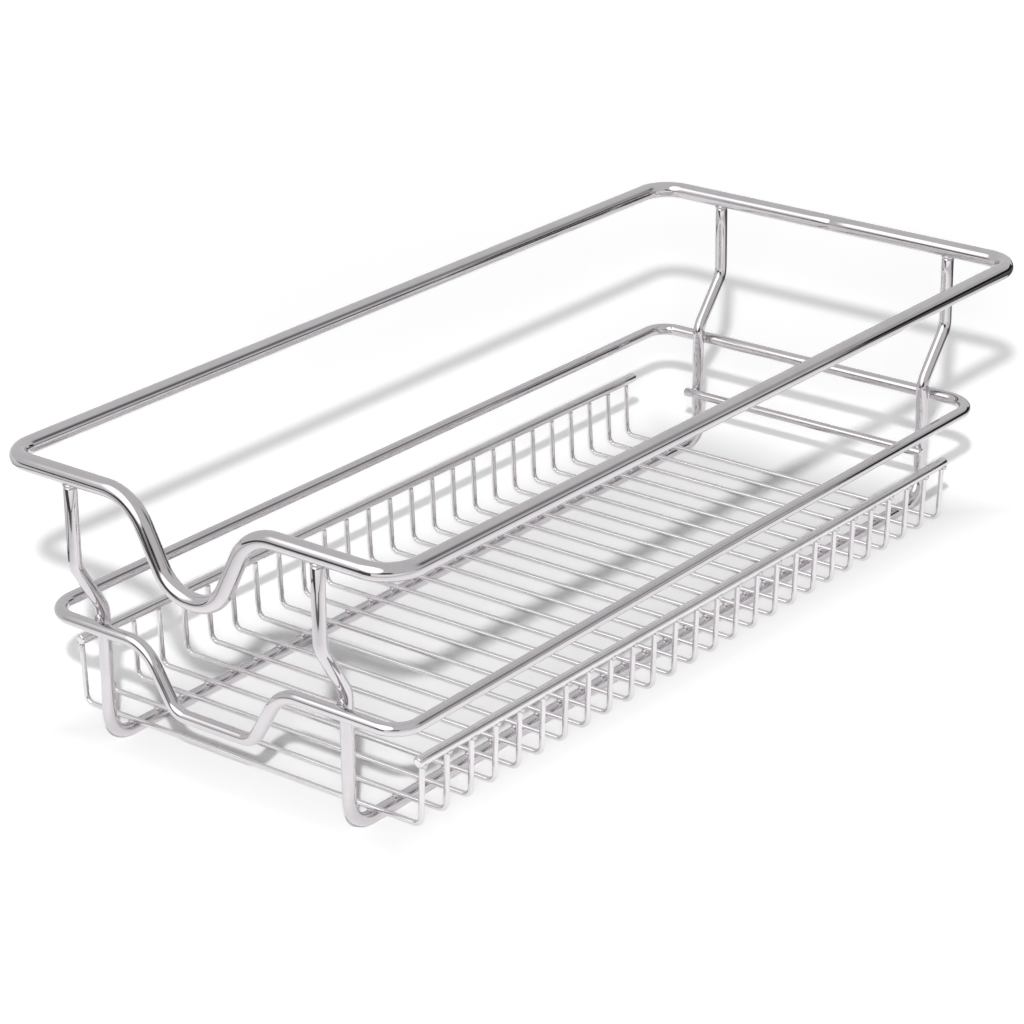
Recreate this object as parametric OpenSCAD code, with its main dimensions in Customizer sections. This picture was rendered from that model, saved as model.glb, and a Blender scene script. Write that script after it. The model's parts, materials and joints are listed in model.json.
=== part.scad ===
// Pull-out cabinet basket, welded from round steel wire and chrome plated.
// X is the width, Y the depth with the handle end at -Y, Z is up.
// The origin is under the middle of the basket, on the surface that it stands on.
// Places of wires are those of their centrelines.

/* [Overall] */
// Width over the top rim
overall_w = 222; // [205:1:300]
// Depth over the top rim
overall_d = 480; // [400:1:560]
// Height from the surface to the top of the rim
overall_h = 134; // [126:1:170]
// Gap left between two wires where they are welded
weld_gap = 0.1; // [0.05:0.05:0.3]

/* [Top rim] */
// Diameter of the top rim's wire
rim_wire = 8; // [6:0.5:9]
// Bend radius of the rim's four corners
rim_corner_r = 15; // [10:0.5:20]
// Depth of the handle dip in the rim's front
rim_dip_depth = 39; // [30:1:42]
// Slope of the handle dip's sides, from level
rim_dip_slope = 63; // [50:1:70]
// Bend radius of the dip's two shoulders
rim_dip_shoulder_r = 23; // [12:1:24]
// Bend radius at the bottom of the dip
rim_dip_base_r = 19; // [10:1:20]
// Straight length at the bottom of the dip
rim_dip_flat = 2; // [1:1:16]

/* [Middle rim] */
// Diameter of the middle rim's wire
mid_wire = 6; // [4:0.5:7]
// Inset of the middle rim's side from the top rim's side, outer face to outer face
mid_inset = 11; // [4:1:14]
// Height of the middle rim
mid_z = 58; // [52:1:64]
// Bend radius of the middle rim's four corners
mid_corner_r = 15.5; // [10:0.5:20]
// Depth of the dip in the middle rim's front
mid_dip_depth = 27.2; // [18:0.4:30]
// Slope of the middle dip's sides, from level
mid_dip_slope = 59; // [45:1:65]
// Bend radius of the middle dip's shoulders
mid_dip_shoulder_r = 17; // [8:1:18]
// Bend radius at the bottom of the middle dip
mid_dip_base_r = 10; // [6:1:12]
// Straight length at the bottom of the middle dip
mid_dip_flat = 32; // [20:1:40]

/* [Side frames] */
// Diameter of the side frames' wire
frame_wire = 6; // [5:0.5:7]
// Inset of a side frame from the top rim's side, outer face to centreline
frame_inset = 42.8; // [36:0.2:48]
// How far the front leg steps back below the rim
front_step = 14.4; // [8:0.2:18]
// How far the rear leg steps forward below the rim
rear_step = 19.6; // [8:0.2:24]
// Height of the step's lower bend above the middle rim
step_gap = 7; // [7:0.5:10]
// Height that the step takes up
step_rise = 24; // [18:1:30]
// Bend radius of the step
step_r = 12; // [8:1:12]
// Bend radius where a leg turns into its runner
foot_r = 12; // [9:0.5:13]

/* [Floor wires] */
// Number of floor wires
floor_count = 26; // [14:1:34]
// Diameter of the floor wires
floor_wire_d = 2.5; // [2:0.1:3.2]
// Inset of the floor wires' sides from the top rim's side, outer face to outer face
floor_inset = 14.5; // [13:0.5:17]
// Bend radius of the floor wires' corners
floor_corner_r = 4; // [3:0.5:8]
// Distance from the front foot to the first floor wire
floor_front_gap = 13; // [13:0.5:20]
// Distance from the last floor wire to the rear foot
floor_rear_gap = 25.6; // [22:0.2:40]
// How much further out an upright's top is than its foot
upright_lean = 1; // [0:0.1:2]

/* [Side rails] */
// Diameter of the side rails' wire
rail_wire = 5; // [3:0.5:6]
// Height of the side rails
rail_z = 37.2; // [28:0.2:42]
// How far a rail runs past the first floor wire
rail_front_over = 2.2; // [1.6:0.2:4]
// How far a rail runs past the last floor wire
rail_rear_over = 4.6; // [1.6:0.2:8]

/* [Rear cross wire] */
// Diameter of the rear cross wire
cross_wire = 4.5; // [3:0.5:6]
// Height of the rear cross wire
cross_z = 30.3; // [24:0.1:36]
// How far the cross wire runs past each rear leg's centreline
cross_over = 4.3; // [3.5:0.1:8]

/* [Hidden] */
$fn = 48;
chrome = [0.80, 0.80, 0.82];
fine_chrome = [0.74, 0.74, 0.76];
// How much slimmer the wire is in a bend, and how far a bend's ends reach into the runs
bend_slim = 0.1;
bend_entry = 0.2;

// Top rim
rim_x = (overall_w - rim_wire) / 2;
rim_y = (overall_d - rim_wire) / 2;
rim_z = overall_h - rim_wire / 2;

// Side frames: upper legs under the rim, lower legs stepped in, runners on the surface
frame_x = overall_w / 2 - frame_inset;
runner_z = frame_wire / 2;
leg_top_z = rim_z - rim_wire / 2 - weld_gap;
front_foot_y = -rim_y + front_step;
rear_foot_y = rim_y - rear_step;
step_low_z = mid_z + step_gap;
step_high_z = step_low_z + step_rise;

// Middle rim: round the outside of the lower legs
mid_x = overall_w / 2 - mid_inset - mid_wire / 2;
mid_seat = (frame_wire + mid_wire) / 2 + weld_gap;
mid_front_y = front_foot_y - mid_seat;
mid_rear_y = rear_foot_y + mid_seat;

// Floor wires: on top of the runners, spread evenly between the feet
floor_x = overall_w / 2 - floor_inset - floor_wire_d / 2;
floor_z = frame_wire + floor_wire_d / 2 + weld_gap;
floor_first_y = front_foot_y + floor_front_gap;
floor_last_y = rear_foot_y - floor_rear_gap;
floor_pitch = (floor_last_y - floor_first_y) / (floor_count - 1);

// Side rails: on top of the uprights
rail_x = floor_x + upright_lean;
upright_top_z = rail_z - rail_wire / 2 - weld_gap;

// Rear cross wire: on the front face of the rear lower legs
cross_y = rear_foot_y - (frame_wire + cross_wire) / 2 - weld_gap;

function floor_name(i) = str("floor_wire_", i < 10 ? "0" : "", i);
FLOOR_NAMES = [for (i = [1 : floor_count]) floor_name(i)];

function unit(v) = v / norm(v);

// Turn at inner point i of a route, in degrees
function turn(route, i) =
    acos(unit(route[i] - route[i - 1]) * unit(route[i + 1] - route[i]));

// Length that the bend at point i takes from the runs beside it; the two ends have no bend
function setback(route, radii, i) =
    i == 0 || i == len(route) - 1 ? 0 : radii[i - 1] * tan(turn(route, i) / 2);

// A round wire of diameter d along a route, with one bend radius for each inner point
module bent_wire(route, radii, d) {
    for (i = [0 : len(route) - 2])
        wire_run(route[i], route[i + 1], setback(route, radii, i), setback(route, radii, i + 1), d);
    for (i = [1 : len(route) - 2])
        wire_bend(route[i - 1], route[i], route[i + 1], radii[i - 1], d);
}

// The straight stretch from a to b, short of them by trim_a and trim_b
module wire_run(a, b, trim_a, trim_b, d) {
    along = unit(b - a);
    translate(a + along * trim_a)
        rotate([0, acos(along.z), atan2(along.y, along.x)])
            cylinder(h = norm(b - a) - trim_a - trim_b, d = d);
}

// The bend at corner, between the runs from before and to after. The wire is drawn a
// hair slimmer there, and each end of the bend reaches a little way into its run.
module wire_bend(before, corner, after, r, d) {
    arriving = unit(corner - before);
    leaving = unit(after - corner);
    angle = acos(arriving * leaving);
    inward = unit(leaving - arriving * (leaving * arriving));
    normal = cross(arriving, inward);
    centre = corner - arriving * (r * tan(angle / 2)) + inward * r;
    entry = bend_entry / r * 180 / PI;
    multmatrix([
        [-inward.x, arriving.x, normal.x, centre.x],
        [-inward.y, arriving.y, normal.y, centre.y],
        [-inward.z, arriving.z, normal.z, centre.z],
        [0, 0, 0, 1]
    ])
        rotate([0, 0, -entry])
            rotate_extrude(angle = angle + 2 * entry)
                translate([r, 0])
                    circle(d = d - bend_slim);
}

// A straight round wire of diameter d and the given length, centred on the origin along X
module straight_wire(length, d) {
    rotate([0, 90, 0])
        cylinder(h = length, d = d, center = true);
}

// Rim whose wire starts and ends at the butt weld in the middle of the rear,
// with a dip across the middle of the front
module dipped_rim(x, front_y, rear_y, z, corner_r, depth, slope, shoulder_r, base_r, flat, d) {
    base_x = flat / 2 + base_r * tan(slope / 2);
    shoulder_x = base_x + depth / tan(slope);
    route = [
        [0, rear_y, z],
        [x, rear_y, z],
        [x, front_y, z],
        [shoulder_x, front_y, z],
        [base_x, front_y, z - depth],
        [-base_x, front_y, z - depth],
        [-shoulder_x, front_y, z],
        [-x, front_y, z],
        [-x, rear_y, z],
        [0, rear_y, z]
    ];
    radii = [corner_r, corner_r, shoulder_r, base_r, base_r, shoulder_r, corner_r, corner_r];
    bent_wire(route, radii, d);
}

module top_rim() {
    color(chrome)
        dipped_rim(
            rim_x, -rim_y, rim_y, rim_z, rim_corner_r, rim_dip_depth, rim_dip_slope,
            rim_dip_shoulder_r, rim_dip_base_r, rim_dip_flat, rim_wire
        );
}

module mid_rim() {
    color(chrome)
        dipped_rim(
            mid_x, mid_front_y, mid_rear_y, mid_z, mid_corner_r, mid_dip_depth, mid_dip_slope,
            mid_dip_shoulder_r, mid_dip_base_r, mid_dip_flat, mid_wire
        );
}

// One wire that makes the front leg, the runner and the rear leg; side is -1 or 1
module side_frame(side) {
    x = side * frame_x;
    route = [
        [x, -rim_y, leg_top_z],
        [x, -rim_y, step_high_z],
        [x, front_foot_y, step_low_z],
        [x, front_foot_y, runner_z],
        [x, rear_foot_y, runner_z],
        [x, rear_foot_y, step_low_z],
        [x, rim_y, step_high_z],
        [x, rim_y, leg_top_z]
    ];
    color(chrome)
        bent_wire(route, [step_r, step_r, foot_r, foot_r, step_r, step_r], frame_wire);
}

module left_side_frame() {
    side_frame(-1);
}

module right_side_frame() {
    side_frame(1);
}

// Straight wire along the tops of one side's uprights
module side_rail(side) {
    front_y = floor_first_y - rail_front_over;
    rear_y = floor_last_y + rail_rear_over;
    color(fine_chrome)
        translate([side * rail_x, (front_y + rear_y) / 2, rail_z])
            rotate([0, 0, 90])
                straight_wire(rear_y - front_y, rail_wire);
}

module left_side_rail() {
    side_rail(-1);
}

module right_side_rail() {
    side_rail(1);
}

// Straight wire that ties the two rear legs together
module rear_cross_wire() {
    color(chrome)
        translate([0, cross_y, cross_z])
            straight_wire(2 * (frame_x + cross_over), cross_wire);
}

// U-shaped floor wire number i, counted from the front, with an upright at each side
module floor_wire(i) {
    y = floor_first_y + (i - 1) * floor_pitch;
    route = [
        [-rail_x, y, upright_top_z],
        [-floor_x, y, floor_z],
        [floor_x, y, floor_z],
        [rail_x, y, upright_top_z]
    ];
    color(fine_chrome)
        bent_wire(route, [floor_corner_r, floor_corner_r], floor_wire_d);
}

top_rim();
mid_rim();
left_side_frame();
right_side_frame();
left_side_rail();
right_side_rail();
rear_cross_wire();
for (i = [1 : floor_count])
    floor_wire(i);
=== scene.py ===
"""A pull-out cabinet basket of chrome-plated steel wire: its looks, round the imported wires.

The wires are bent here from round sections, a run and a bend at a time, and get beads of
weld metal where they meet. Lengths are in metres.
"""
import json
import math

import bpy
from mathutils import Euler, Matrix, Vector

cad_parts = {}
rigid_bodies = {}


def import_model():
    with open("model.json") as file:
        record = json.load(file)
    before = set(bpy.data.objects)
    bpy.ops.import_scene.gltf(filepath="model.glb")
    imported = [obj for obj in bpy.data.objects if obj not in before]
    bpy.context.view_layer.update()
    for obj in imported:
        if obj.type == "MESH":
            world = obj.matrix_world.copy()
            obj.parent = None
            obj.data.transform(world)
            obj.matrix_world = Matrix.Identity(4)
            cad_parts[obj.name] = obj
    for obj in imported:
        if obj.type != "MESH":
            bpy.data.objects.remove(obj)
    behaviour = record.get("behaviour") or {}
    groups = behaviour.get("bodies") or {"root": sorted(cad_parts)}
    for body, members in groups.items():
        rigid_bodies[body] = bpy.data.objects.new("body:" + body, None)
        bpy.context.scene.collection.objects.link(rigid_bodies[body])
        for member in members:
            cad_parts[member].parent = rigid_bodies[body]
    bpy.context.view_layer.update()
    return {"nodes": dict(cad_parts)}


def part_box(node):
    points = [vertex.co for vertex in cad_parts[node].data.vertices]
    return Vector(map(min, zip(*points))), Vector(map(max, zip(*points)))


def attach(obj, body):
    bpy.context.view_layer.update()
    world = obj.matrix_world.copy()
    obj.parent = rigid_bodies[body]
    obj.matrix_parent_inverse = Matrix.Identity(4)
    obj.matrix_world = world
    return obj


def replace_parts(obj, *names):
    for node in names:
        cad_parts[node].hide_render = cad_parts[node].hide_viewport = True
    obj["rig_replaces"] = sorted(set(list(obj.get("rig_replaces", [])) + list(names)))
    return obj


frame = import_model()

MM = 0.001

# Wire diameters
RIM_WIRE = 8 * MM
MID_WIRE = 6 * MM
FRAME_WIRE = 6 * MM
RAIL_WIRE = 5 * MM
CROSS_WIRE = 4.5 * MM
FLOOR_WIRE = 2.5 * MM

# Bend radii, and the slopes and flats of the two handle dips
RIM_CORNER_R = 15 * MM
RIM_SHOULDER_R = 23 * MM
RIM_BASE_R = 19 * MM
RIM_DIP_SLOPE = math.radians(63)
RIM_DIP_FLAT = 2 * MM
MID_CORNER_R = 15.5 * MM
MID_SHOULDER_R = 17 * MM
MID_BASE_R = 10 * MM
MID_DIP_SLOPE = math.radians(59)
MID_DIP_FLAT = 32 * MM
STEP_R = 12 * MM
FOOT_R = 12 * MM
FLOOR_CORNER_R = 4 * MM

# The middle rim isn't quite square. Its front right and rear left corners are bent tighter,
# and its right run is a slow bow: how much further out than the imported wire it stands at
# the rear, halfway and in front.
MID_TIGHT_R = 11 * MM
MID_BOW_R = 2000 * MM
MID_BOW = (-1.3 * MM, 0.1 * MM, 4.6 * MM)

# The legs' steps: the lower bend's height above the middle rim, and the step's rise
STEP_GAP = 7 * MM
STEP_RISE = 24 * MM

# How much further out an upright's top is than its foot
UPRIGHT_LEAN = 1 * MM
# How far each rail runs past the first and past the last floor wire's centreline
RAIL_OVER = {"left": (1.2 * MM, 6.6 * MM), "right": (3.0 * MM, 2.2 * MM)}

# The four legs, by the signs of their X and Y
LEGS = ((-1, -1), (1, -1), (-1, 1), (1, 1))

# Places of centrelines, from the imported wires
rim_low, rim_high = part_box("top_rim")
rim_x = rim_high.x - RIM_WIRE / 2
rim_y = rim_high.y - RIM_WIRE / 2
rim_z = rim_high.z - RIM_WIRE / 2
rim_dip = rim_high.z - rim_low.z - RIM_WIRE

mid_low, mid_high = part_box("mid_rim")
mid_x = mid_high.x - MID_WIRE / 2
mid_front_y = mid_low.y + MID_WIRE / 2
mid_rear_y = mid_high.y - MID_WIRE / 2
mid_z = mid_high.z - MID_WIRE / 2
mid_dip = mid_high.z - mid_low.z - MID_WIRE

leg_low, leg_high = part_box("right_side_frame")
frame_x = (leg_low.x + leg_high.x) / 2
runner_z = leg_low.z + FRAME_WIRE / 2
leg_top_z = leg_high.z
weld_gap = rim_z - RIM_WIRE / 2 - leg_top_z
front_foot_y = mid_front_y + (MID_WIRE + FRAME_WIRE) / 2 + weld_gap
rear_foot_y = mid_rear_y - (MID_WIRE + FRAME_WIRE) / 2 - weld_gap
step_low_z = mid_z + STEP_GAP
step_high_z = step_low_z + STEP_RISE

rail_low, rail_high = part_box("right_side_rail")
rail_x = (rail_low.x + rail_high.x) / 2
rail_z = (rail_low.z + rail_high.z) / 2

floor_names = sorted(name for name in frame["nodes"] if name.startswith("floor_wire_"))
floor_low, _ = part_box(floor_names[0])
floor_x = rail_x - UPRIGHT_LEAN
floor_z = floor_low.z + FLOOR_WIRE / 2
upright_top_z = rail_z - RAIL_WIRE / 2 - weld_gap

cross_low, cross_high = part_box("rear_cross_wire")
cross_y = (cross_low.y + cross_high.y) / 2
cross_z = (cross_low.z + cross_high.z) / 2


# ------------------------------------------------------------------ camera

CAMERA_AT = Vector((0.8748, -1.1271, 0.6524))
CAMERA_AZIMUTH = math.radians(37.784)
CAMERA_ELEVATION = math.radians(22.601)
CAMERA_ROLL = math.radians(-0.402)
# The lens and the sensor's width are in millimetres, and the shift in widths of the sensor
CAMERA_LENS = 117.4
SENSOR = 36.0
CAMERA_SHIFT = (-0.0374, -0.0141)


def add_camera():
    data = bpy.data.cameras.new("camera")
    data.sensor_width = SENSOR
    data.lens = CAMERA_LENS
    data.shift_x, data.shift_y = CAMERA_SHIFT
    camera = bpy.data.objects.new("camera", data)
    bpy.context.scene.collection.objects.link(camera)
    look = Euler((math.pi / 2 - CAMERA_ELEVATION, 0, CAMERA_AZIMUTH)).to_matrix()
    turn = look @ Matrix.Rotation(CAMERA_ROLL, 3, "Z")
    camera.matrix_world = Matrix.Translation(CAMERA_AT) @ turn.to_4x4()
    bpy.context.scene.camera = camera


# ------------------------------------------------------------------ materials

class Value:
    """A number in a material, which takes part in Python's sums as a Math node."""

    def __init__(self, finish, socket):
        self.finish = finish
        self.socket = socket

    def _math(self, operation, *operands):
        sockets = dict(enumerate(operands))
        return self.finish.node("ShaderNodeMath", {"operation": operation}, sockets)

    def __add__(self, other):
        return self._math("ADD", self, other)

    def __sub__(self, other):
        return self._math("SUBTRACT", self, other)

    def __rsub__(self, other):
        return self._math("SUBTRACT", other, self)

    def __mul__(self, other):
        return self._math("MULTIPLY", self, other)

    def __pow__(self, other):
        return self._math("POWER", self, other)

    def __abs__(self):
        return self._math("ABSOLUTE", self)

    __radd__ = __add__
    __rmul__ = __mul__

    def at_least(self, low):
        return self._math("MAXIMUM", self, low)

    def between(self, low, high):
        """0 at low and beyond it, 1 at high and beyond it, and smooth in between."""
        settings = {"interpolation_type": "SMOOTHSTEP"}
        sockets = {"Value": self, "From Min": low, "From Max": high}
        return self.finish.node("ShaderNodeMapRange", settings, sockets)


class Finish:
    """A material, lamp or world being made, node by node."""

    def __init__(self, owner):
        owner.use_nodes = True
        self.owner = owner
        self.tree = owner.node_tree

    def node(self, kind, settings=None, sockets=None, output=0):
        """Adds a node with its settings, then the values or links of its sockets."""
        made = self.tree.nodes.new(kind)
        for name, value in (settings or {}).items():
            setattr(made, name, value)
        for name, value in (sockets or {}).items():
            self.feed(made.inputs[name], value)
        return Value(self, made.outputs[output])

    def feed(self, socket, value):
        """Links a value to a socket, or sets the socket to a plain number or colour."""
        if isinstance(value, Value):
            self.tree.links.new(value.socket, socket)
        else:
            socket.default_value = value

    def shader(self, **sockets):
        """Feeds the Principled shader's sockets; a name's _ stands for a space."""
        shader = self.tree.nodes["Principled BSDF"]
        for name, value in sockets.items():
            self.feed(shader.inputs[name.replace("_", " ")], value)

    def place(self):
        return self.node("ShaderNodeTexCoord", output="Object")

    def noise(self, scale, detail, roughness=0.5):
        """Noise with scale features to the metre."""
        sockets = {
            "Vector": self.place(),
            "Scale": scale,
            "Detail": detail,
            "Roughness": roughness,
        }
        return self.node("ShaderNodeTexNoise", None, sockets)

    def mix(self, share, first, second):
        """First where share is 0, second where it is 1. 6 and 7 are the colour sockets."""
        settings = {"data_type": "RGBA", "clamp_factor": True}
        return self.node("ShaderNodeMix", settings, {0: share, 6: first, 7: second}, output=2)

    def bump(self, height, distance, normal=None):
        sockets = {"Height": height, "Distance": distance}
        if normal is not None:
            sockets["Normal"] = normal
        return self.node("ShaderNodeBump", None, sockets)


# The plating's features to the metre: clouds and haze, and the surface's waves and grain
CLOUDS = 28
HAZE = 140
WAVES = 45
GRAIN = 1900
# From where to where in their noise the clouds and the haze thicken
CLOUD_EDGES = (0.35, 0.7)
HAZE_EDGES = (0.4, 0.75)
# How much of the tone follows the clouds, and how much of the gloss follows the haze. The
# rest follows the other of the two.
CLOUDY_TONE = 0.6
HAZY_GLOSS = 0.7


def plated(name, bright, dull, smooth, hazy, ripple, pits):
    """Chrome plating: bright to dull tones, a clear to hazy shine, and its bumps' heights."""
    finish = Finish(bpy.data.materials.new(name))
    clouds = finish.noise(CLOUDS, detail=3).between(*CLOUD_EDGES)
    haze = finish.noise(HAZE, detail=4, roughness=0.6).between(*HAZE_EDGES)
    dullness = clouds * CLOUDY_TONE + haze * (1 - CLOUDY_TONE)
    haziness = haze * HAZY_GLOSS + clouds * (1 - HAZY_GLOSS)
    waved = finish.bump(finish.noise(WAVES, detail=1), ripple)
    finish.shader(
        Base_Color=finish.mix(dullness, (*bright, 1), (*dull, 1)),
        Metallic=1.0,
        Roughness=smooth + (hazy - smooth) * haziness,
        Normal=finish.bump(finish.noise(GRAIN, detail=2), pits, normal=waved),
    )
    return finish.owner


chrome = plated(
    "chrome_plate", bright=(0.68, 0.655, 0.675), dull=(0.62, 0.595, 0.615),
    smooth=0.035, hazy=0.1, ripple=0.02 * MM, pits=0.0015 * MM,
)
fine_chrome = plated(
    "fine_wire_plate", bright=(0.78, 0.755, 0.77), dull=(0.70, 0.68, 0.695),
    smooth=0.12, hazy=0.22, ripple=0.01 * MM, pits=0.003 * MM,
)
weld_finish = plated(
    "weld_plate", bright=(0.68, 0.66, 0.68), dull=(0.56, 0.545, 0.56),
    smooth=0.12, hazy=0.28, ripple=0.04 * MM, pits=0.01 * MM,
)


# ------------------------------------------------------------------ bending wire

# The sides of the wires' sections. The cross wire has as many as the rails.
RIM_SIDES = 32
FRAME_SIDES = 28
RAIL_SIDES = 20
FLOOR_SIDES = 16
# The longest stretch between two rings of a run, and the angle between the rings of a bend
RING_GAP = 12 * MM
FLOOR_RING_GAP = 16 * MM
BEND_STEP = math.radians(5)
SMOOTH_ANGLE = math.radians(40)
# A cut end's rounded edge, as a share of the wire's diameter, and its rings
TIP_ROUND = 0.22
TIP_RINGS = 3
# The groove at a closed wire's butt weld: its width, and its depth as a share of the radius
SEAM_WIDTH = 1.4 * MM
SEAM_DEPTH = 0.045
# What counts as at the butt: rings to join, as a share of the diameter, and points to select
BUTT_JOINT = 0.01
BUTT_REACH = SEAM_WIDTH / 8


def deselect_all():
    bpy.ops.object.select_all(action="DESELECT")


def apply_place():
    """Moves the active object's place, turn and size into its mesh."""
    bpy.ops.object.transform_apply(location=True, rotation=True, scale=True)


def start_wire(at, along, wire_d, sides):
    """Opens a new wire in edit mode: one ring of its section, square to its first run."""
    deselect_all()
    bpy.ops.mesh.primitive_circle_add(
        vertices=sides,
        radius=wire_d / 2,
        location=at,
        rotation=along.to_track_quat("Z", "Y").to_euler(),
    )
    apply_place()
    bpy.ops.object.mode_set(mode="EDIT")
    bpy.ops.mesh.select_mode(type="EDGE")
    bpy.ops.mesh.select_all(action="SELECT")


def draw_run(move, ring_gap):
    """Draws the open ring out along move, with rings no further apart than ring_gap."""
    stretches = max(1, math.ceil(move.length / ring_gap))
    for _ in range(stretches):
        bpy.ops.mesh.extrude_region_move(TRANSFORM_OT_translate={"value": move / stretches})


def draw_bend(corner, arriving, leaving, setback, radius):
    """Turns the open ring round a bend. Spin goes clockwise about the axis it is given."""
    axis = arriving.cross(leaving).normalized()
    inward = axis.cross(arriving)
    angle = arriving.angle(leaving)
    bpy.ops.mesh.spin(
        steps=math.ceil(angle / BEND_STEP),
        angle=angle,
        center=corner - arriving * setback + inward * radius,
        axis=-axis,
    )


def close_butt(at, wire_d):
    """Joins the last ring of a closed wire to its first, and leaves a fine groove there."""
    bpy.ops.mesh.select_all(action="SELECT")
    bpy.ops.mesh.remove_doubles(threshold=wire_d * BUTT_JOINT)
    select_ring(at)
    bpy.ops.mesh.bevel(offset=SEAM_WIDTH / 2, segments=2, affect="EDGES")
    select_ring(at)
    shrink = 1 - SEAM_DEPTH
    bpy.ops.transform.resize(value=(1, shrink, shrink), center_override=at)


def select_ring(at):
    """Selects the edges round a wire at its butt, in a run along X in the rear half."""
    bpy.ops.mesh.select_all(action="DESELECT")
    bpy.ops.object.mode_set(mode="OBJECT")
    mesh = bpy.context.object.data
    on_ring = [abs(v.co.x - at.x) < BUTT_REACH and v.co.y > 0 for v in mesh.vertices]
    for edge in mesh.edges:
        edge.select = all(on_ring[i] for i in edge.vertices)
    bpy.ops.object.mode_set(mode="EDIT")


def close_ends(wire_d):
    """Caps both cut ends and rounds their edges. Only the caps have more than four sides."""
    bpy.ops.mesh.select_all(action="DESELECT")
    bpy.ops.mesh.select_non_manifold()
    bpy.ops.mesh.fill_holes(sides=0)
    bpy.ops.object.mode_set(mode="OBJECT")
    for face in bpy.context.object.data.polygons:
        face.select = len(face.vertices) > 4
    bpy.ops.object.mode_set(mode="EDIT")
    bpy.ops.mesh.select_mode(type="FACE")
    bpy.ops.mesh.region_to_loop()
    bpy.ops.mesh.bevel(offset=wire_d * TIP_ROUND, segments=TIP_RINGS, profile=0.5, affect="EDGES")


def bend_wire(route, radii, wire_d, sides, ring_gap=RING_GAP, closed=False):
    """A wire along a route, with one bend radius for each inner point.

    A closed wire's route starts and ends at its butt weld.
    """
    runs = [after - before for before, after in zip(route, route[1:])]
    setbacks = [0.0]
    for arriving, leaving, radius in zip(runs, runs[1:], radii):
        setbacks.append(radius * math.tan(arriving.angle(leaving) / 2))
    setbacks.append(0.0)

    start_wire(route[0], runs[0], wire_d, sides)
    for i, run in enumerate(runs):
        along = run.normalized()
        draw_run(run - along * (setbacks[i] + setbacks[i + 1]), ring_gap)
        if i < len(radii):
            leaving = runs[i + 1].normalized()
            draw_bend(route[i + 1], along, leaving, setbacks[i + 1], radii[i])
    if closed:
        close_butt(route[0], wire_d)
    else:
        close_ends(wire_d)
    bpy.ops.mesh.select_all(action="SELECT")
    bpy.ops.mesh.normals_make_consistent(inside=False)
    bpy.ops.object.mode_set(mode="OBJECT")
    bpy.ops.object.shade_smooth_by_angle(angle=SMOOTH_ANGLE)
    return bpy.context.object


# ------------------------------------------------------------------ weld beads

# Half-lengths of the beads: under the rim's legs, at the middle rim, at the cross wire,
# on the runners and at the side rails
LEG_TOP_BEAD = (3.7 * MM, 3.6 * MM, 1.4 * MM)
MID_BEAD = (2.9 * MM, 1.3 * MM, 4.6 * MM)
CROSS_BEAD = (2.6 * MM, 1.1 * MM, 2.6 * MM)
RUNNER_BEAD = (1.9 * MM, 1.6 * MM, 0.6 * MM)
RAIL_BEAD = (1.3 * MM, 1.5 * MM, 1.9 * MM)
# How far the beads sit above a leg's top and above the middle rim's centreline
LEG_TOP_BEAD_UP = 0.3 * MM
MID_BEAD_UP = 0.8 * MM
# Where a rail's beads sit, outward and down from its centreline, as shares of its diameter
RAIL_SEAT_OUT = 0.28
RAIL_SEAT_DOWN = 0.36
# How lumpy a bead is before it is smoothed, as a share of its longest half-length
BEAD_LUMPS = 0.07


def weld_bead(at, size, seed):
    """A lens of weld metal in the corners where two wires cross; size is its half-lengths.

    Its seed sets how it is lumpy, so that the beads of one wire differ.
    """
    deselect_all()
    bpy.ops.mesh.primitive_ico_sphere_add(subdivisions=2, radius=1, location=at, scale=size)
    apply_place()
    bpy.ops.object.mode_set(mode="EDIT")
    bpy.ops.mesh.select_all(action="SELECT")
    lumps = BEAD_LUMPS * max(size)
    bpy.ops.transform.vertex_random(offset=lumps, uniform=0.3, normal=0.7, seed=seed)
    bpy.ops.mesh.vertices_smooth(factor=0.4)
    bpy.ops.object.mode_set(mode="OBJECT")
    bpy.ops.object.shade_smooth()
    bead = bpy.context.object
    bead.data.materials.append(weld_finish)
    return bead


def join_all(pieces):
    """Joins pieces into the first of them, and leaves it selected."""
    deselect_all()
    for piece in pieces:
        piece.select_set(True)
    bpy.context.view_layer.objects.active = pieces[0]
    bpy.ops.object.join()
    return pieces[0]


# ------------------------------------------------------------------ wires

def plated_name(node):
    """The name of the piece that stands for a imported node."""
    return "plated_" + node


def stand_for(wire, node):
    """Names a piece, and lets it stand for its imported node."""
    wire.name = plated_name(node)
    wire.data.name = wire.name
    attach(wire, "root")
    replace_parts(wire, node)


def finish_wire(wire, finish, beads, node):
    """Gives a bent wire its plating and its beads."""
    wire.data.materials.append(finish)
    wire = join_all([wire, *beads])
    stand_for(wire, node)
    return wire


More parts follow.
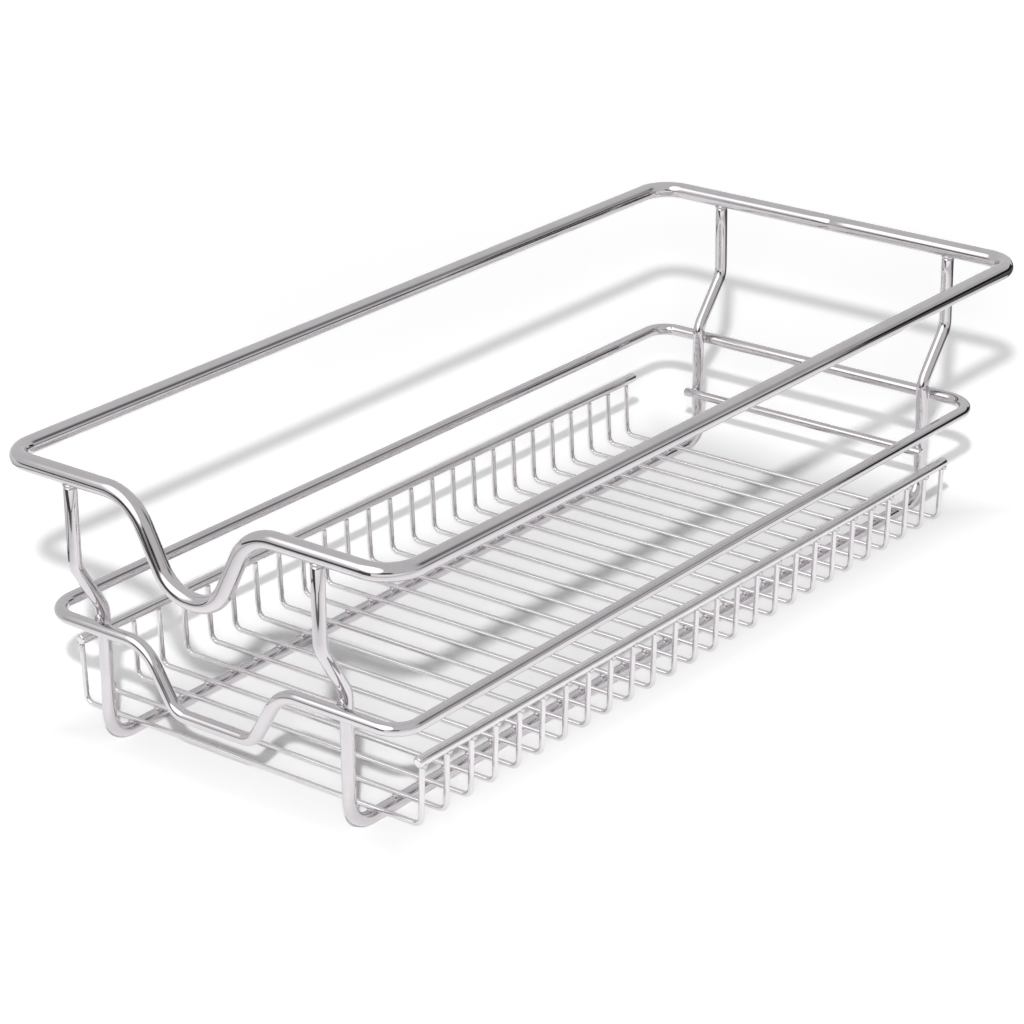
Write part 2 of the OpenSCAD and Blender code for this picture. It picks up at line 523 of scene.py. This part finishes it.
def dipped_rim(right, left, z, depth, slope, shoulder_r, base_r, flat, wire_d):
    """A closed rim from its butt weld in the middle of the rear, with a dip in its front.

    Its right side goes from the rear to the front, and its left side back to the rear, each
    as the X, Y and bend radius of its points.
    """
    rear_y = right[0][1]
    front_y = right[-1][1]
    base_x = flat / 2 + base_r * math.tan(slope / 2)
    shoulder_x = base_x + depth / math.tan(slope)
    route = [
        Vector((0, rear_y, z)),
        *(Vector((x, y, z)) for x, y, _ in right),
        Vector((shoulder_x, front_y, z)),
        Vector((base_x, front_y, z - depth)),
        Vector((-base_x, front_y, z - depth)),
        Vector((-shoulder_x, front_y, z)),
        *(Vector((x, y, z)) for x, y, _ in left),
        Vector((0, rear_y, z)),
    ]
    dip_radii = [shoulder_r, base_r, base_r, shoulder_r]
    radii = [*(r for _, _, r in right), *dip_radii, *(r for _, _, r in left)]
    return bend_wire(route, radii, wire_d, RIM_SIDES, closed=True)


def make_top_rim():
    right = [(rim_x, rim_y, RIM_CORNER_R), (rim_x, -rim_y, RIM_CORNER_R)]
    left = [(-rim_x, -rim_y, RIM_CORNER_R), (-rim_x, rim_y, RIM_CORNER_R)]
    wire = dipped_rim(
        right, left, rim_z, rim_dip, RIM_DIP_SLOPE,
        RIM_SHOULDER_R, RIM_BASE_R, RIM_DIP_FLAT, RIM_WIRE,
    )
    bead_z = leg_top_z + LEG_TOP_BEAD_UP
    beads = [
        weld_bead((side * frame_x, end * rim_y, bead_z), LEG_TOP_BEAD, seed=11 + i)
        for i, (side, end) in enumerate(LEGS)
    ]
    finish_wire(wire, chrome, beads, "top_rim")


def make_mid_rim():
    rear_out, halfway_out, front_out = MID_BOW
    right = [
        (mid_x + rear_out, mid_rear_y, MID_CORNER_R),
        (mid_x + halfway_out, 0, MID_BOW_R),
        (mid_x + front_out, mid_front_y, MID_TIGHT_R),
    ]
    left = [(-mid_x, mid_front_y, MID_CORNER_R), (-mid_x, mid_rear_y, MID_TIGHT_R)]
    wire = dipped_rim(
        right, left, mid_z, mid_dip, MID_DIP_SLOPE,
        MID_SHOULDER_R, MID_BASE_R, MID_DIP_FLAT, MID_WIRE,
    )
    seat = (MID_WIRE + weld_gap) / 2
    seat_y = {-1: mid_front_y + seat, 1: mid_rear_y - seat}
    beads = [
        weld_bead((side * frame_x, seat_y[end], mid_z + MID_BEAD_UP), MID_BEAD, seed=21 + i)
        for i, (side, end) in enumerate(LEGS)
    ]
    finish_wire(wire, chrome, beads, "mid_rim")


def make_side_frame(side, place):
    x = side * frame_x
    route = [
        Vector((x, -rim_y, leg_top_z)),
        Vector((x, -rim_y, step_high_z)),
        Vector((x, front_foot_y, step_low_z)),
        Vector((x, front_foot_y, runner_z)),
        Vector((x, rear_foot_y, runner_z)),
        Vector((x, rear_foot_y, step_low_z)),
        Vector((x, rim_y, step_high_z)),
        Vector((x, rim_y, leg_top_z)),
    ]
    radii = [STEP_R, STEP_R, FOOT_R, FOOT_R, STEP_R, STEP_R]
    wire = bend_wire(route, radii, FRAME_WIRE, FRAME_SIDES)
    finish_wire(wire, chrome, [], f"{place}_side_frame")


def make_side_rail(side, place):
    x = side * rail_x
    front_over, rear_over = RAIL_OVER[place]
    route = [
        Vector((x, floor_middle(floor_names[0]) - front_over, rail_z)),
        Vector((x, floor_middle(floor_names[-1]) + rear_over, rail_z)),
    ]
    wire = bend_wire(route, [], RAIL_WIRE, RAIL_SIDES)
    finish_wire(wire, fine_chrome, [], f"{place}_side_rail")


def make_rear_cross_wire():
    route = [Vector((cross_low.x, cross_y, cross_z)), Vector((cross_high.x, cross_y, cross_z))]
    wire = bend_wire(route, [], CROSS_WIRE, RAIL_SIDES)
    seat_y = cross_y + (CROSS_WIRE + weld_gap) / 2
    beads = [
        weld_bead((side * frame_x, seat_y, cross_z), CROSS_BEAD, seed=31 + side)
        for side in (-1, 1)
    ]
    finish_wire(wire, chrome, beads, "rear_cross_wire")


def make_floor_wires():
    """The first floor wire is bent and gets its beads, and the others are its copies."""
    first_y = floor_middle(floor_names[0])
    route = [
        Vector((-rail_x, first_y, upright_top_z)),
        Vector((-floor_x, first_y, floor_z)),
        Vector((floor_x, first_y, floor_z)),
        Vector((rail_x, first_y, upright_top_z)),
    ]
    wire = bend_wire(route, [FLOOR_CORNER_R] * 2, FLOOR_WIRE, FLOOR_SIDES, FLOOR_RING_GAP)
    runner_seat_z = floor_z - (FLOOR_WIRE + weld_gap) / 2
    rail_seat_x = rail_x + RAIL_WIRE * RAIL_SEAT_OUT
    rail_seat_z = rail_z - RAIL_WIRE * RAIL_SEAT_DOWN
    beads = []
    for i, side in enumerate((-1, 1)):
        runner_seat = (side * frame_x, first_y, runner_seat_z)
        rail_seat = (side * rail_seat_x, first_y, rail_seat_z)
        beads.append(weld_bead(runner_seat, RUNNER_BEAD, seed=41 + i))
        beads.append(weld_bead(rail_seat, RAIL_BEAD, seed=51 + i))
    first = finish_wire(wire, fine_chrome, beads, floor_names[0])
    for name in floor_names[1:]:
        copy_floor_wire(first, name, floor_middle(name) - first_y)


def copy_floor_wire(first, name, move_y):
    deselect_all()
    first.select_set(True)
    bpy.context.view_layer.objects.active = first
    bpy.ops.object.duplicate()
    copy = bpy.context.object
    del copy["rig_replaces"]
    bpy.ops.transform.translate(value=(0, move_y, 0))
    apply_place()
    stand_for(copy, name)


def floor_middle(name):
    low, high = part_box(name)
    return (low.y + high.y) / 2


add_camera()
make_top_rim()
make_mid_rim()
make_side_frame(-1, "left")
make_side_frame(1, "right")
make_side_rail(-1, "left")
make_side_rail(1, "right")
make_rear_cross_wire()
make_floor_wires()


# ------------------------------------------------------------------ studio

TABLE_HALF = 8.0
PAPER_TONE = 0.9

# Two round lamps stand near the camera, so that most shadows fall behind what throws them:
# each lamp's place, its width and its share of the light at the table's middle
KEY_LAMP = (Vector((0.95, -1.30, 1.09)), 0.06, 0.45)
SOFT_LAMP = (Vector((1.20, -1.58, 0.88)), 0.45, 0.16)
# The walls' tone as a light, which fills the shadows
FILL_TONE = 0.24

# The table glows white outside the basket, as painted light: from and to which distance, and how
# much. The first distances count from the rim's outline and the second from the basket's middle.
NEAR_REACH = (-0.03, 0.02)
NEAR_GLOW = 0.29
FAR_REACH = (0.35, 1.7)
FAR_GLOW = 0.5

# What the plating mirrors: the tone of the walls, the dark screen high behind the rear, the
# low black bench in front, the low black cupboard behind the right rear corner, and the
# softbox at the front left
WALL_TONE = 0.68
SCREEN_TONE = 0.1
SCREEN_DIRECTION = Vector((0.608, 0.640, 0.469)).normalized()
SCREEN_TIGHTNESS = 36
BLACK_TONE = 0.015
# The bench blurs out between two angles from its middle, and between two heights: the Z of
# a direction of length 1
BENCH_DIRECTION = Vector((0.174, -0.985, 0))
BENCH_SIDES = (math.radians(46), math.radians(36))
BENCH_TOP = (0.2, 0.34)
CUPBOARD_AT = Vector((0.645, 1.45, 0.225))
CUPBOARD_FACING = Vector((0, -1, 0))
CUPBOARD_HALF = (0.505, 0.225)
SOFTBOX_AT = Vector((-0.06, -2.60, 2.94))
SOFTBOX_FACING = Vector((0.49, 0.87, 0))
SOFTBOX_HALF = (2.63, 3.0)
SOFTBOX_TONE = 1.8
# The softbox is full up to the second distance from its middle, and clear from the first
# one on, as shares of its half-size
SOFTBOX_FADE = (1.0, 0.75)

# The table as the plating mirrors it, a painted reflection: bright near the basket, greyer
# far from it as painted shade, and dark past its rear edge. Past its front and left edges
# there is a dark gap, and then the room. Each edge is a direction and a distance.
MIRRORED_REACH = (0.26, 0.6)
FAR_TABLE_PAINTED_SHADE = 0.54
FRONT_EDGE = (Vector((0.326, -0.946, 0)), 0.455)
LEFT_EDGE = (Vector((-0.946, -0.326, 0)), 0.33)
REAR_EDGE = (Vector((0, 1, 0)), 0.43)
EDGE_BLUR = 0.008
GAP = 0.032
GAP_TONE = 0.06
LEFT_ROOM_TONE = 0.6
# The room past the front edge is dark up to this X, and bright from there on
DARK_ROOM_X = 0.092
DARK_ROOM_TONE = 0.02
BRIGHT_ROOM_TONE = 0.7


def grey(tone):
    return (tone, tone, tone, 1)


def coordinate(finish, place, axis):
    return finish.node("ShaderNodeSeparateXYZ", None, {"Vector": place}, output=axis)


def dot(finish, place, direction):
    settings = {"operation": "DOT_PRODUCT"}
    return finish.node("ShaderNodeVectorMath", settings, {0: place, 1: direction}, output=1)


def distance(finish, place):
    """How far a place is from the middle of its piece."""
    return finish.node("ShaderNodeVectorMath", {"operation": "LENGTH"}, {0: place}, output=1)


def past(value, line):
    """0 before a line and 1 past it, with a small blur."""
    return value.between(line - EDGE_BLUR / 2, line + EDGE_BLUR / 2)


# Painted reflection: the table as glossy rays see it, with painted shade far from the basket
def mirrored_table(finish, place):
    far = distance(finish, place).between(*MIRRORED_REACH)
    table = finish.mix(far, grey(PAPER_TONE), grey(FAR_TABLE_PAINTED_SHADE))
    across, edge_at = REAR_EDGE
    table = finish.mix(past(dot(finish, place, across), edge_at), table, grey(GAP_TONE))
    bright = past(coordinate(finish, place, "X"), DARK_ROOM_X)
    front_room = finish.mix(bright, grey(DARK_ROOM_TONE), grey(BRIGHT_ROOM_TONE))
    for edge, room in ((LEFT_EDGE, grey(LEFT_ROOM_TONE)), (FRONT_EDGE, front_room)):
        across, edge_at = edge
        out = dot(finish, place, across)
        table = finish.mix(past(out, edge_at), table, grey(GAP_TONE))
        table = finish.mix(past(out, edge_at + GAP), table, room)
    return table


def add_floor():
    """A table of white paper. It glows outside the basket, as painted light, and its mirror
    image is a painted reflection that differs from it.
    """
    deselect_all()
    bpy.ops.mesh.primitive_plane_add(size=2 * TABLE_HALF)
    floor = bpy.context.object
    floor.name = "floor"
    finish = Finish(bpy.data.materials.new("pale_floor"))
    place = finish.place()
    past_sides = abs(coordinate(finish, place, "X")) - rim_x
    past_ends = abs(coordinate(finish, place, "Y")) - rim_y
    near = past_sides.at_least(past_ends).between(*NEAR_REACH)
    far = distance(finish, place).between(*FAR_REACH)
    # Painted reflection: glossy rays see the painted table, and all other rays the white paper
    mirrored = finish.node("ShaderNodeLightPath", output="Is Glossy Ray")
    colour = finish.mix(mirrored, grey(PAPER_TONE), mirrored_table(finish, place))
    finish.shader(
        Base_Color=colour,
        Roughness=0.9,
        # painted light: the table glows outside the rim's outline, and more far from the basket's
        # middle
        Emission_Color=finish.mix(near * NEAR_GLOW + far * FAR_GLOW, grey(0), colour),
        Emission_Strength=1.0,
    )
    floor.data.materials.append(finish.owner)


def add_lamp(name, at, width, share):
    """A round lamp whose light falls off with its slant alone, and not with distance.

    It lights a white table with energy / pi ** 2, times the slant.
    """
    data = bpy.data.lights.new(name, "AREA")
    data.shape = "DISK"
    data.size = width
    slant = at.normalized().z
    data.energy = share * math.pi ** 2 / (PAPER_TONE * slant)
    finish = Finish(data)
    steady = finish.node("ShaderNodeLightFalloff", None, {"Strength": 1.0}, output="Constant")
    finish.feed(finish.tree.nodes["Emission"].inputs["Strength"], steady)
    lamp = bpy.data.objects.new(name, data)
    bpy.context.scene.collection.objects.link(lamp)
    lamp.location = at
    lamp.rotation_euler = at.to_track_quat("Z", "Y").to_euler()
    lamp.visible_glossy = False
    return lamp


def let_through(lamp, nodes):
    """Lets a lamp's light pass fine wires, which are then shaded by the other lights alone."""
    passed = bpy.data.collections.new(lamp.name + "_passes")
    for node in nodes:
        passed.objects.link(bpy.data.objects[plated_name(node)])
    lamp.light_linking.blocker_collection = passed
    for member in passed.collection_objects:
        member.light_linking.link_state = "EXCLUDE"


def add_card(name, at, facing, half, tone, fade=None):
    """A card that only the plating mirrors. With a fade it thins out towards its rim."""
    deselect_all()
    bpy.ops.mesh.primitive_plane_add(
        size=2, location=at, rotation=facing.to_track_quat("Z", "Y").to_euler(),
    )
    card = bpy.context.object
    card.name = name
    card.scale = (*half, 1)
    finish = Finish(bpy.data.materials.new(name + "_face"))
    finish.shader(
        Base_Color=(0, 0, 0, 1),
        Roughness=1.0,
        Specular_IOR_Level=0.0,
        Emission_Color=(1, 1, 1, 1),
        Emission_Strength=tone,
    )
    if fade:
        finish.shader(Alpha=distance(finish, finish.place()).between(*fade))
    card.data.materials.append(finish.owner)
    card.visible_camera = False
    card.visible_diffuse = False
    card.visible_shadow = False


def light_studio():
    """Walls that the plating mirrors as grey with a dark screen and a black bench.

    They light everything evenly, and the camera sees them as white.
    """
    world = bpy.data.worlds.new("studio")
    bpy.context.scene.world = world
    studio = Finish(world)
    direction = studio.node("ShaderNodeTexCoord", output="Generated")
    screen = dot(studio, direction, SCREEN_DIRECTION).at_least(0) ** SCREEN_TIGHTNESS
    walls = studio.mix(screen, grey(WALL_TONE), grey(SCREEN_TONE))
    outside, inside = (math.cos(angle) for angle in BENCH_SIDES)
    within_sides = dot(studio, direction, BENCH_DIRECTION).between(outside, inside)
    above_top = coordinate(studio, direction, "Z").between(*BENCH_TOP)
    walls = studio.mix(within_sides * (1 - above_top), walls, grey(BLACK_TONE))
    fill = studio.node("ShaderNodeLightPath", output="Is Diffuse Ray")
    walls = studio.mix(fill, walls, grey(FILL_TONE))
    seen = studio.node("ShaderNodeLightPath", output="Is Camera Ray")
    colour = studio.mix(seen, walls, grey(1))
    studio.feed(studio.tree.nodes["Background"].inputs["Color"], colour)


add_floor()
light_studio()
key_lamp = add_lamp("key_lamp", *KEY_LAMP)
add_lamp("soft_lamp", *SOFT_LAMP)
let_through(key_lamp, floor_names)
# Painted reflections: cards that only the plating sees, a glowing softbox that lights nothing and
# a black cupboard
add_card("softbox", SOFTBOX_AT, SOFTBOX_FACING, SOFTBOX_HALF, SOFTBOX_TONE, SOFTBOX_FADE)
add_card("cupboard", CUPBOARD_AT, CUPBOARD_FACING, CUPBOARD_HALF, BLACK_TONE)
bpy.context.scene.view_settings.view_transform = "Standard"
